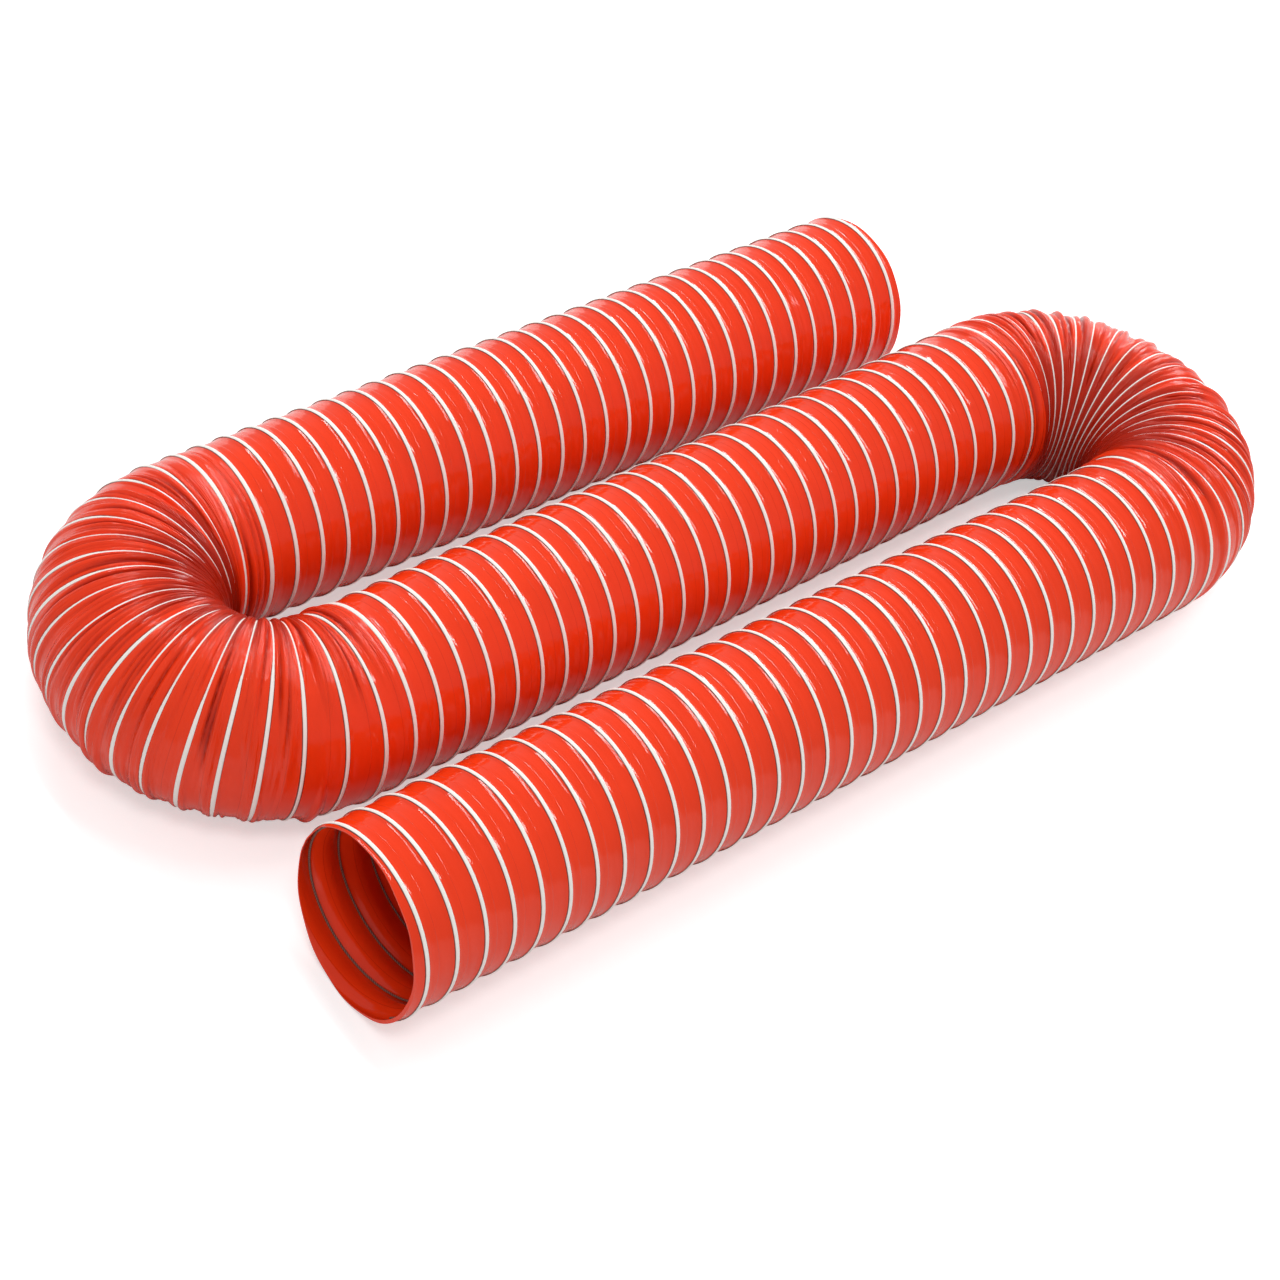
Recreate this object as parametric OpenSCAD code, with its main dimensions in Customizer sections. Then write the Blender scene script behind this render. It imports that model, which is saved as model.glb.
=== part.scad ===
// A flexible air duct laid on the floor in an S: a rear run, a left bend, a middle run, a right
// bend and a front run. One glass-fabric wall is held open by a spring-wire helix inside it, and
// a flat glass cord lies over the wire on the outside. Each piece is divided into lengths, one
// for each stretch of the duct that moves by itself.
//
// X runs along the middle run, +Y points to the rear run, and Z = 0 is the floor.

/* [Duct] */

// Inside diameter of the fabric wall
bore_d = 152; // [102:1:254]

// Thickness of the coated glass-fabric wall
wall_t = 1; // [0.6:0.1:2]

/* [Helix] */

// Diameter of the spring wire
wire_d = 2; // [1:0.1:3]

// Width of the flat glass cord
cord_w = 3.8; // [2:0.1:5]

// Thickness of the flat glass cord
cord_t = 0.9; // [0.5:0.1:1.2]

// Bond line between the wall and the wire, and between the wall and the cord
bond_t = 0.1; // [0.05:0.05:0.2]

// Distance between neighbouring turns of the helix along a run
pitch = 26; // [16:1:30]

/* [Bends] */

// Turns of the helix in each bend
bend_turns = 18.5; // [12:0.5:24]

// Angle that each bend turns through
bend_angle = 181.5; // [170:0.5:185]

// Fabric folded between neighbouring cords on the inside of a bend
fold_t = 0.7; // [0.2:0.1:2]

// Lengths that each bend is divided into
bend_parts = 6; // [3:1:10]

/* [Runs] */

// Turns in the middle run, a whole number and a half
middle_turns = 29.5; // [15.5:1:39.5]

// Turns in the rear run
rear_turns = 29; // [24.5:0.5:39.5]

// Turns in the front run
front_turns = 33.5; // [24.5:0.5:39.5]

// Turns of each outer run that close up when its end is pushed in
reach_turns = 14; // [8:1:16]

// Turns between the reach and the open end, at each end of the duct
end_turns = 7.5; // [4:0.5:8]

// Plain fabric past the last turn at each open end
hem_len = 14; // [4:1:30]

/* [Lengths] */

// Gap between neighbouring lengths of one piece
part_gap = 0.3; // [0.1:0.1:0.5]

/* [Hidden] */

$fn = 64;

// The wire is drawn with flats, which keep its joined half-turns simple.
wire_sides = 6;

fabric_colour = "orangered";
wire_colour = "dimgray";
cord_colour = "ivory";

bore_r = bore_d / 2;
wall_r = bore_r + wall_t;

// A half-turn is an arc that stands on its two crossings, so it stands out a little further at
// the top and the bottom than the crossings do at the sides.
function arc_r(crossing_r) = sqrt(crossing_r ^ 2 + (pitch / 4) ^ 2);
function crossing_r_under(outer_r) = sqrt(outer_r ^ 2 - (pitch / 4) ^ 2);
wire_r = crossing_r_under(bore_r - bond_t - wire_d / 2);

// Each arc is slanted, which brings one edge of the cord's inner face nearer to the wall.
cord_slant = pitch / 4 / wall_r;
cord_r = wall_r + bond_t + cord_t / 2 + cord_slant * cord_w / 2;
duct_r = arc_r(cord_r) + cord_t / 2;

// The duct lies on its cord. A bend is as tight as its cords allow: on the inside they lie side
// by side with only the folded fabric between them.
axis_z = duct_r;
bend_inner_r = bend_turns * (cord_w + fold_t) / (bend_angle * PI / 180);
bend_r = bend_inner_r + duct_r;
middle_len = middle_turns * pitch;
bend_centre = [middle_len / 2, -bend_r];
reach_out = 4 * (bend_r + duct_r);

// Every length, from the middle run out along both arms
function bend_names(side) = [for (i = [1:bend_parts]) str(side, "_bend_", i)];
function run_names(end) = [str(end, "_run"), str(end, "_reach"), str(end, "_end")];
FRONT_ARM = concat(bend_names("right"), run_names("front"));
REAR_ARM = concat(bend_names("left"), run_names("rear"));
LENGTHS = concat(["middle_run"], FRONT_ARM, REAR_ARM);
PIECES = ["fabric", "wire", "cord"];

// Places along an arm are counted in turns from the start of its bend. They are negative along
// the middle run. The rear arm is the front arm turned half round about the Z axis.
function heading(turn) = -bend_angle * min(max(turn, 0), bend_turns) / bend_turns;
function ahead(turn) = [cos(heading(turn)), sin(heading(turn))];
function left(turn) = [-sin(heading(turn)), cos(heading(turn))];
function straight_len(turn) = pitch * (min(turn, 0) + max(turn - bend_turns, 0));
function centre(turn) = bend_centre + bend_r * left(turn) + straight_len(turn) * ahead(turn);

// Where the lengths of an arm meet, in turns
function arm_stops(run_turns) = concat(
    [for (i = [0:bend_parts]) i * bend_turns / bend_parts],
    [for (rest = [reach_turns + end_turns, end_turns, 0]) bend_turns + run_turns - rest]
);
function arm_turns(in_front) = bend_turns + (in_front ? front_turns : rear_turns);
function is_bend(part) = part < bend_parts;

// The helix crosses the level of the centreline twice a turn, left and right by turns.
function crossing(half, r) = centre(half / 2) + (half % 2 == 0 ? r : -r) * left(half / 2);

// Half a turn of the children's section, over the top or underneath, for a left-hand helix
module half_turn(half, r)
{
    start = crossing(half, r);
    span = crossing(half + 1, r) - start;
    over = half % 2 != 0;
    translate([start.x + span.x / 2, start.y + span.y / 2, axis_z])
        rotate([over ? 0 : 180, 0, atan2(span.y, span.x)])
            rotate([90, 0, 0])
                rotate_extrude(angle = 180)
                    translate([norm(span) / 2, 0])
                        children();
}

module wire_section()
{
    circle(d = wire_d, $fn = wire_sides);
}

module cord_section()
{
    square([cord_t, cord_w], center = true);
}

module tube_section()
{
    difference()
    {
        circle(r = wall_r);
        circle(r = bore_r);
    }
}

// Space for one straight length, from one place on an arm to another
module run_space(from, to, spare = 0)
{
    start = centre(from);
    translate([start.x, start.y, 0])
        rotate([0, 0, heading(to)])
            translate([part_gap / 2, -bend_r, -bend_r])
                cube([pitch * (to - from) - part_gap + spare, 2 * bend_r, 4 * bend_r]);
}

// Space for one length of a bend, a wedge about the centre of the bend
module bend_space(from, to)
{
    middle = (from + to) / 2;
    half_angle = bend_angle * (to - from) / bend_turns / 2;
    apex = bend_centre + part_gap / 2 / sin(half_angle) * left(middle);
    translate([0, 0, -bend_r])
        linear_extrude(4 * bend_r)
            polygon([apex, apex + reach_out * left(from), apex + reach_out * left(to)]);
}

module part_space(part, stops)
{
    if (is_bend(part))
        bend_space(stops[part], stops[part + 1]);
    else
        run_space(stops[part], stops[part + 1], part == bend_parts + 2 ? hem_len : 0);
}

// The wall of one straight length
module straight_wall(from, to, spare = 0)
{
    start = centre(from);
    translate([start.x, start.y, axis_z])
        rotate([0, 90, heading(to)])
            translate([0, 0, part_gap / 2])
                linear_extrude(pitch * (to - from) - part_gap + spare)
                    tube_section();
}

// The wall of one length of a bend
module bend_wall(part, stops)
{
    sweep = 3 * bend_angle / bend_parts;
    intersection()
    {
        translate([bend_centre.x, bend_centre.y, axis_z])
            rotate([0, 0, heading((stops[part] + stops[part + 1]) / 2) + 90 - sweep / 2])
                rotate_extrude(angle = sweep)
                    translate([bend_r, 0])
                        tube_section();
        bend_space(stops[part], stops[part + 1]);
    }
}

module arm_wall(part, stops)
{
    if (is_bend(part))
        bend_wall(part, stops);
    else
        straight_wall(stops[part], stops[part + 1], part == bend_parts + 2 ? hem_len : 0);
}

// Whether a section of this width, at a crossing past a cut, reaches well back over the cut
function reaches_back(half, stop, r, width) =
    abs((crossing(half, r) - centre(stop)) * ahead(stop)) < width / 3;

// The children's helix over one length of an arm, cut where the length ends. A half-turn past a
// cut belongs to the length only where its width reaches well back into it.
module arm_helix(part, stops, in_front, r, width)
{
    from = stops[part];
    to = stops[part + 1];
    enter = floor(2 * from);
    leave = ceil(2 * to);
    first = reaches_back(enter, from, r, width) ? enter - 1 : enter;
    last = reaches_back(leave, to, r, width) ? leave : leave - 1;
    intersection()
    {
        for (half = [first:min(last, 2 * arm_turns(in_front) - 1)])
            half_turn(half, r)
                children();
        part_space(part, stops);
    }
}

// The children's helix along the middle run, with the first half-turn of each bend
module middle_helix(r)
{
    intersection()
    {
        union()
        {
            for (half = [-2 * middle_turns:0])
                half_turn(half, r)
                    children();
            rotate([0, 0, 180])
                half_turn(0, r)
                    children();
        }
        run_space(-middle_turns, 0);
    }
}

// One helical piece over one length, from the length's place in LENGTHS
module helix(place, r, width)
{
    in_front = place <= len(FRONT_ARM);
    part = place - 1 - (in_front ? 0 : len(FRONT_ARM));
    if (place == 0)
        middle_helix(r)
            children();
    else
        rotate([0, 0, in_front ? 0 : 180])
            arm_helix(part, arm_stops(in_front ? front_turns : rear_turns), in_front, r, width)
                children();
}

module fabric(place)
{
    in_front = place <= len(FRONT_ARM);
    part = place - 1 - (in_front ? 0 : len(FRONT_ARM));
    color(fabric_colour)
        if (place == 0)
            straight_wall(-middle_turns, 0);
        else
            rotate([0, 0, in_front ? 0 : 180])
                arm_wall(part, arm_stops(in_front ? front_turns : rear_turns));
}

module wire(place)
{
    color(wire_colour)
        helix(place, wire_r, wire_d)
            wire_section();
}

module cord(place)
{
    color(cord_colour)
        helix(place, cord_r, cord_w)
            cord_section();
}

for (place = [0:len(LENGTHS) - 1])
{
    fabric(place);
    wire(place);
    cord(place);
}
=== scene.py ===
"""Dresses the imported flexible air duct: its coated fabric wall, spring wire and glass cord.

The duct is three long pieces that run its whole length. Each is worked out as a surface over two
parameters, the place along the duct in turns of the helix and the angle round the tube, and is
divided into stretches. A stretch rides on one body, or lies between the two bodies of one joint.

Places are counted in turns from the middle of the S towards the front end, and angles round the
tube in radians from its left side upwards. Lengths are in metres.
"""

from __future__ import annotations

import logging
import math
from dataclasses import dataclass
from enum import Enum
from typing import Callable

import bpy
import numpy as np
from mathutils import Matrix, Vector

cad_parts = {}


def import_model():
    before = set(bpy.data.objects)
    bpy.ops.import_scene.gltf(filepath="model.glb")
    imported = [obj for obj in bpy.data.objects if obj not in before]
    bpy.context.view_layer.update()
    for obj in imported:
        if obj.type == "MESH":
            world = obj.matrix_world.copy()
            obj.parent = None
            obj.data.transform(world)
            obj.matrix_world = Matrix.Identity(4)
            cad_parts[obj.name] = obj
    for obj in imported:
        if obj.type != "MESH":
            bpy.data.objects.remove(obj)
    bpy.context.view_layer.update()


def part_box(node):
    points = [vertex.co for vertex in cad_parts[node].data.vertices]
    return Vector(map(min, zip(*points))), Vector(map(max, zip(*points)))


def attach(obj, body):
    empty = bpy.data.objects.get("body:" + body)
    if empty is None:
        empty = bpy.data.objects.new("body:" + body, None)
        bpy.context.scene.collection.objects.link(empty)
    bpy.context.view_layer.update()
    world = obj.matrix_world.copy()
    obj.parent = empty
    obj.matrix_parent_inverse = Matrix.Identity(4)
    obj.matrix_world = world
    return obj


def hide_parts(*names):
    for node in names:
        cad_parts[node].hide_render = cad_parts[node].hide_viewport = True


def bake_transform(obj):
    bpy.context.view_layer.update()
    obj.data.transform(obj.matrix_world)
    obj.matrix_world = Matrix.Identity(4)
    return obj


LOG = logging.getLogger("duct")
MM = 0.001
TAU = 2.0 * math.pi
WHITE = (1.0, 1.0, 1.0, 1.0)
Pair = tuple[float, float]
Triple = tuple[float, float, float]
Colour = tuple[float, float, float, float]
Face = Callable[[np.ndarray, np.ndarray], np.ndarray]
Socket = bpy.types.NodeSocket


def smooth_step(x: np.ndarray, low: float, high: float) -> np.ndarray:
    """Rises smoothly from 0 at low to 1 at high.

    Args:
        x: Values to ease.
        low: Where the rise starts.
        high: Where the rise ends.

    Returns:
        The eased values, 3t^2 - 2t^3 of the clipped share t.
    """
    t = np.clip((x - low) / (high - low), 0.0, 1.0)
    return t * t * (3.0 - 2.0 * t)


def wander(x: np.ndarray, seed: float, rates: tuple[float, ...] = (1.0, 2.3, 4.1)) -> np.ndarray:
    """A smooth, seemingly random wave, mostly between -1 and 1.

    Args:
        x: Places along the wave.
        seed: Shifts the wave, so that two waves differ.
        rates: How fast each of the summed sines turns.

    Returns:
        The sum of the shifted sines, divided by the root of their number.
    """
    waves = [np.sin(rate * x + seed * (3.7 + 1.9 * i)) for i, rate in enumerate(rates)]
    return sum(waves) / math.sqrt(len(rates))


def unit(vectors: np.ndarray) -> np.ndarray:
    """The vectors in their last axis, brought to unit length."""
    return vectors / np.maximum(np.linalg.norm(vectors, axis=-1, keepdims=True), 1e-12)


# The route of the duct


class Arm(Enum):
    """The two arms that leave the middle run."""

    FRONT = "front"
    REAR = "rear"

    @property
    def bend(self) -> str:
        """The side word of the arm's bend."""
        return "right" if self is Arm.FRONT else "left"


@dataclass(frozen=True)
class Route:
    """The centreline of the duct: straight runs, joined by two bends.

    Places are positive on the front arm and negative on the rear arm, which is the front arm
    turned half round about the Z axis.
    """

    axis_z: float
    duct_r: float
    pitch: float = 26.0 * MM
    drawn_pitch: float = 31.4 * MM
    middle_turns: float = 29.5
    front_turns: float = 33.5
    rear_turns: float = 29.0
    bend_turns: float = 18.5
    bend_parts: int = 6
    bend_angle: float = math.radians(181.5)
    cord_w: float = 3.8 * MM
    fold_t: float = 0.7 * MM
    reach_turns: float = 14.0
    end_turns: float = 7.5
    hem_len: float = 14.0 * MM
    crowd_ease: float = 2.4

    @property
    def bend_r(self) -> float:
        """Radius of a bend's centreline: its inside is as tight as the cords allow."""
        return self.bend_turns * (self.cord_w + self.fold_t) / self.bend_angle + self.duct_r

    @property
    def half_middle(self) -> float:
        """Turns from the middle of the S to the start of either bend."""
        return self.middle_turns / 2.0

    def last_turn(self, arm: Arm) -> float:
        """Turns from the start of the arm's bend to the last turn of the helix."""
        return self.bend_turns + (self.front_turns if arm is Arm.FRONT else self.rear_turns)

    def past_start(self, place: np.ndarray) -> np.ndarray:
        """Turns past the start of the nearer bend, negative on the middle run."""
        return np.abs(place) - self.half_middle

    def heading(self, place: np.ndarray) -> np.ndarray:
        """Direction of the duct towards the front end at each place, in radians from +X."""
        along_bend = np.clip(self.past_start(place), 0.0, self.bend_turns)
        return -self.bend_angle * along_bend / self.bend_turns

    def left(self, place: np.ndarray) -> np.ndarray:
        """Horizontal unit vectors to the left of the duct, with X and Y as their last axis."""
        heading = self.heading(place)
        return np.stack([-np.sin(heading), np.cos(heading)], axis=-1)

    def centre(self, place: np.ndarray) -> np.ndarray:
        """Centreline points: straight runs, and arcs about each bend's centre.

        Args:
            place: Places along the duct.

        Returns:
            An array with X and Y as its last axis.
        """
        side = np.where(place < 0.0, -1.0, 1.0)
        turn = self.past_start(place)
        heading = self.heading(place)
        straight = self.pitch * (np.minimum(turn, 0.0) + np.maximum(turn - self.bend_turns, 0.0))
        bend_x = self.half_middle * self.pitch - self.bend_r * np.sin(heading)
        x = bend_x + straight * np.cos(heading)
        y = -self.bend_r + self.bend_r * np.cos(heading) + straight * np.sin(heading)
        return np.stack([side * x, side * y], axis=-1)

    def bend_share(self, place: np.ndarray) -> np.ndarray:
        """How much of a bend's crowding a place has, from 0 on the runs to 1 in a bend.

        Args:
            place: Places along the duct.

        Returns:
            Values from 0 to 1, which ease in and out at both ends of a bend.
        """
        turn = self.past_start(place)
        ease = self.crowd_ease
        start = smooth_step(turn, -ease, ease)
        stop = smooth_step(turn, self.bend_turns - ease, self.bend_turns + ease)
        return start * (1.0 - stop)

    def turn_spacing(self, place: np.ndarray, angle: np.ndarray) -> np.ndarray:
        """Distance from one turn to the next on the outside of the tube.

        Args:
            place: Places along the duct.
            angle: Angles round the tube.

        Returns:
            Spacings, wide outside a bend and narrow inside it.
        """
        side = np.where(place < 0.0, -1.0, 1.0)
        from_centre = self.bend_r + side * self.duct_r * np.cos(angle)
        in_bend = from_centre * self.bend_angle / self.bend_turns
        share = self.bend_share(place)
        return share * in_bend + (1.0 - share) * self.pitch

    def arm_stops(self, arm: Arm) -> list[float]:
        """Where the bodies of an arm meet, in turns from the start of its bend."""
        bend = [i * self.bend_turns / self.bend_parts for i in range(self.bend_parts + 1)]
        last = self.last_turn(arm)
        return bend + [last - self.reach_turns - self.end_turns, last - self.end_turns, last]


# The tube's shape between its turns


@dataclass(frozen=True)
class Gap:
    """Where points lie between two turns of the helix.

    Each has its share of the way from one turn to the next, its place along the strip of fabric
    between them in turns, the turns' distance there, and how loose the fabric is.
    """

    share: np.ndarray
    strip: np.ndarray
    spacing: np.ndarray
    loose: np.ndarray

    @property
    def from_turn(self) -> np.ndarray:
        """Distance from the nearer of the two turns."""
        return np.minimum(self.share, 1.0 - self.share) * self.spacing


@dataclass(frozen=True)
class Crease:
    """A line along the gap between two turns where spare fabric is drawn in.

    It starts and is full at two degrees of looseness, and is gone past a third. Its width is a
    length and a share of the turns' distance.
    """

    middle: float
    roam: float
    rate: float
    seed: float
    starts: float
    full: float
    gone: float
    fade: float = 0.12
    usual: float = 0.7
    uneven: float = 0.45
    limits: Pair = (0.1, 1.2)
    width: Pair = (0.8 * MM, 0.05)
    sharpness: float = 1.3

    def depth(self, gap: Gap) -> np.ndarray:
        """Depth of the crease, as a share of a full one's.

        It falls off to both sides of a line that wanders along the strip of fabric.

        Args:
            gap: Where the points lie.

        Returns:
            One share for each point.
        """
        middle = self.middle + self.roam * wander(gap.strip * self.rate, self.seed)
        size = self.usual + self.uneven * wander(gap.strip * self.rate * 1.3, self.seed + 5.0)
        size = np.clip(size, *self.limits) * smooth_step(gap.loose, self.starts, self.full)
        size = size * (1.0 - smooth_step(gap.loose, self.gone - self.fade, self.gone))
        width = self.width[0] + self.width[1] * gap.spacing
        across = np.abs(gap.share - middle) * gap.spacing / width
        return size * np.exp(-(across**self.sharpness))


@dataclass(frozen=True)
class Corrugation:
    """How the fabric stands on the wire and sags, bulges and creases between its turns.

    A pair whose name ends in loose holds the two degrees of looseness that a change lies between.
    """

    route: Route
    wall_t: float = 1.0 * MM
    cord_t: float = 0.8 * MM
    saddle_w: float = 3.6 * MM
    saddle_drop: float = 1.1 * MM
    run_sag: float = 0.25 * MM
    sag_loose: Pair = (0.18, 0.34)
    bend_slack: float = 0.24
    bulge_h: float = 5.0 * MM
    bulge_power: float = 0.7
    bulge_loose: Pair = (0.22, 0.55)
    pleat_share: float = 0.35
    pleat_loose: Pair = (0.7, 1.0)
    cord_clear: Pair = (1.7 * MM, 0.25 * MM)
    clear_loose: Pair = (0.28, 0.5)
    crease_h: float = 3.9 * MM
    crease_free: Pair = (0.8 * MM, 0.06)
    fine_h: float = 0.07 * MM
    inner_sag: float = 2.6 * MM
    front_spare: float = 0.13
    rear_spare: float = 0.36
    floor_soft: float = 1.2 * MM
    gather: float = 0.6
    gather_ease: float = 0.6
    bend_even: float = 0.6
    stray_places: tuple[float, ...] = (-62.4, -34.0, -14.75, 0.0, 14.75, 34.0, 67.1)
    stray_turns: tuple[float, ...] = (-0.02, 0.20, 0.35, 0.25, 0.14, 0.65, -0.42)
    left_bend_stray: float = 0.4
    mouth_stray: float = 0.3
    mouth: Pair = (60.0, 67.0)
    run_stray: float = 0.010
    bend_stray: float = 0.040
    creases: tuple[Crease, ...] = (
        Crease(0.52, 0.10, 2.3, 3.0, 0.18, 0.46, 0.98),
        Crease(0.29, 0.06, 1.9, 8.0, 0.20, 0.48, 0.82),
        Crease(0.74, 0.06, 2.1, 13.0, 0.24, 0.50, 0.82),
    )

    @property
    def crest_r(self) -> float:
        """Radius of the fabric where it lies over the wire."""
        return self.route.duct_r - self.cord_t

    @property
    def strand_ends(self) -> Pair:
        """Where the wire and the cord start and stop, in turns of the helix."""
        rear = self.route.last_turn(Arm.REAR) + self.route.middle_turns + self.rear_spare
        return -rear, self.route.last_turn(Arm.FRONT) + self.front_spare

    def drift(self, place: np.ndarray, angle: np.ndarray) -> np.ndarray:
        """How far the hand-laid helix strays from its even pitch.

        Args:
            place: Places along the duct.
            angle: Angles round the tube.

        Returns:
            Shifts in turns, more uneven in the bends.
        """
        route = self.route
        stray = np.interp(place, self.stray_places, self.stray_turns)
        into_left = np.clip((-place - route.half_middle) / route.bend_turns, 0.0, 1.0)
        stray = stray + self.left_bend_stray * np.sin(TAU * into_left)
        near_mouth = smooth_step(place, *self.mouth)
        stray = stray - self.mouth_stray * near_mouth * 0.5 * (1.0 - np.cos(angle))
        size = self.run_stray + self.bend_stray * route.bend_share(place)
        sideways = wander(place * 1.7, 1.0) * np.cos(angle - 0.7)
        return stray + size * (sideways + wander(place * 1.3, 5.0) * np.sin(angle))

    def phase(self, place: np.ndarray, angle: np.ndarray) -> np.ndarray:
        """Turn count of the left-hand helix at a point, whole numbers on the cord."""
        return place - self.route.half_middle + angle / TAU + self.drift(place, angle)

    def gap(self, place: np.ndarray, angle: np.ndarray) -> Gap:
        """Where points lie between two turns, and how loose the fabric is there.

        Args:
            place: Places along the duct.
            angle: Angles round the tube.

        Returns:
            Where they lie. Fabric is loose by its spare share, and by some more in a bend.
        """
        phase = self.phase(place, angle)
        turn = np.floor(phase)
        spacing = self.spacing(place, angle)
        spare = np.clip(1.0 - spacing / self.route.drawn_pitch, 0.0, 1.0)
        loose = spare + self.bend_slack * self.route.bend_share(place)
        return Gap(phase - turn, turn - angle / TAU, spacing, loose)

    def turn_place(self, angle: np.ndarray, rounds: int = 14) -> np.ndarray:
        """Place at which the helix passes an angle, where phase is 0.

        Args:
            angle: Angles round the tube, counted on from turn to turn.
            rounds: How often the stray is worked out again.

        Returns:
            Places along the duct.
        """
        even = self.route.half_middle - angle / TAU
        place = even
        for _ in range(rounds):
            place = even - self.drift(place, angle)
        return place

    def gathered(
        self, place: np.ndarray, angle: np.ndarray, start: float, stop: float
    ) -> np.ndarray:
        """Moves rings towards the nearest turn, where the fabric curves most.

        Args:
            place: Even places along the duct.
            angle: Angles round the tube.
            start: Where the stretch starts; its first ring stays.
            stop: Where the stretch stops; its last ring stays.

        Returns:
            Places in the same order, closer together beside the cord.
        """
        inside = np.minimum(place - start, stop - place)
        share = self.gather * smooth_step(inside, 0.0, self.gather_ease)
        share = share * (1.0 - self.bend_even * self.route.bend_share(place))
        return place - share / TAU * np.sin(TAU * self.phase(place, angle))

    def spacing(self, place: np.ndarray, angle: np.ndarray) -> np.ndarray:
        """Distance from one turn of the strayed helix to the next."""
        reach = 0.2
        ahead, behind = (self.drift(place + way * reach, angle) for way in (1.0, -1.0))
        return self.route.turn_spacing(place, angle) / (1.0 + (ahead - behind) / (2.0 * reach))

    def radius(self, place: np.ndarray, angle: np.ndarray) -> np.ndarray:
        """Radius of the fabric's outer face.

        On a run the fabric leaves the wire in a rounded saddle and sags a little towards the
        middle of the gap. Towards the inside of a bend it bulges out past the cord instead, and
        its spare length is drawn in along sharp creases between the rounded folds.

        Args:
            place: Places along the duct.
            angle: Angles round the tube.

        Returns:
            Radii of the same shape.
        """
        gap = self.gap(place, angle)
        hump = np.sin(math.pi * gap.share)
        tight = 1.0 - smooth_step(gap.loose, *self.sag_loose)
        saddle = 1.0 - np.exp(-((gap.from_turn / self.saddle_w) ** 2))
        sag = tight * (self.saddle_drop * saddle + self.run_sag * hump**2)
        bulge = self.bulge_h * smooth_step(gap.loose, *self.bulge_loose)
        bulge = bulge * (1.0 - self.pleat_share * smooth_step(gap.loose, *self.pleat_loose))
        clear = np.interp(gap.loose, self.clear_loose, self.cord_clear)
        free = np.clip((gap.from_turn - clear) / (0.5 * gap.spacing - clear), 0.0, 1.0)
        crease_free = self.crease_free[0] + self.crease_free[1] * gap.spacing
        rise = 1.0 - np.exp(-((gap.from_turn / crease_free) ** 2))
        fine = self.fine_h * wander(gap.strip * 9.0 + gap.share * 5.0, 2.0) * hump
        folds = bulge * np.sin(0.5 * math.pi * free) ** self.bulge_power
        folds = folds - rise * self.drawn_in(gap)
        return self.crest_r - sag + folds + fine

    def inner_radius(self, place: np.ndarray, angle: np.ndarray) -> np.ndarray:
        """Radius of the inner face, which hangs in a little between the turns of wire."""
        sag = self.inner_sag * np.sin(math.pi * self.phase(place, angle)) ** 2
        return self.radius(place, angle) - self.wall_t - sag

    def drawn_in(self, gap: Gap) -> np.ndarray:
        """Depth of all creases together."""
        return self.crease_h * sum(crease.depth(gap) for crease in self.creases)

    def normals(self, place: np.ndarray, angle: np.ndarray, radius: Face) -> np.ndarray:
        """Unit normals of a face, from points a hair's breadth to each side.

        Args:
            place: Places along the duct.
            angle: Angles round the tube.
            radius: Gives the radius of the face at a place and an angle.

        Returns:
            Normals that point away from the centreline.
        """
        reach = 0.2 * MM
        step, turn = reach / self.route.pitch, reach / self.crest_r
        sides = (place + step, place - step)
        after, before = (self.point(side, angle, radius(side, angle)) for side in sides)
        sides = (angle + turn, angle - turn)
        above, below = (self.point(place, side, radius(place, side)) for side in sides)
        return unit(np.cross(above - below, after - before))

    def point(self, place: np.ndarray, angle: np.ndarray, radius: np.ndarray) -> np.ndarray:
        """A point of the tube: out from the centreline by radius, at angle round it.

        The underside settles on the floor, so heights ease towards it and never pass it.

        Args:
            place: Places along the duct.
            angle: Angles round the tube.
            radius: Distances from the centreline.

        Returns:
            An array with X, Y and Z as its last axis.
        """
        outward = (radius * np.cos(angle))[..., None] * self.route.left(place)
        height = self.route.axis_z + radius * np.sin(angle)
        soft = self.floor_soft
        eased = 0.5 * (height + np.sqrt(height**2 + soft**2))
        height = eased - 0.5 * soft * np.exp(-np.abs(height) / soft)
        return np.concatenate([self.route.centre(place) + outward, height[..., None]], axis=-1)


# Stretches of the duct and the bodies that carry them


@dataclass(frozen=True)
class Stretch:
    """A stretch of the duct, from one place to another, with the bodies at its two ends.

    Each point's share between its two bodies is even, or eases in and out. Its open end is -1 at
    its start, 1 at its stop and 0 if it has none.
    """

    name: str
    start: float
    stop: float
    first_body: str
    last_body: str
    even: bool = False
    open_end: int = 0

    @property
    def rigid(self) -> bool:
        """Whether the stretch rides on one body."""
        return self.first_body == self.last_body

    @property
    def bodies(self) -> list[str]:
        """The bodies whose solids the stretch stands for."""
        return [self.first_body] if self.rigid else [self.first_body, self.last_body]

    def from_tip(self, place: np.ndarray) -> np.ndarray:
        """Turns from the open end, infinitely many where the stretch has none."""
        if not self.open_end:
            return np.full_like(place, np.inf)
        return np.abs(place - (self.start if self.open_end < 0 else self.stop))

    def turned(self) -> Stretch:
        """The same stretch, turned half round with the whole arm that it lies on."""
        ends = (-self.stop, -self.start, self.last_body, self.first_body)
        return Stretch(self.name, *ends, self.even, -self.open_end)


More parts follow.
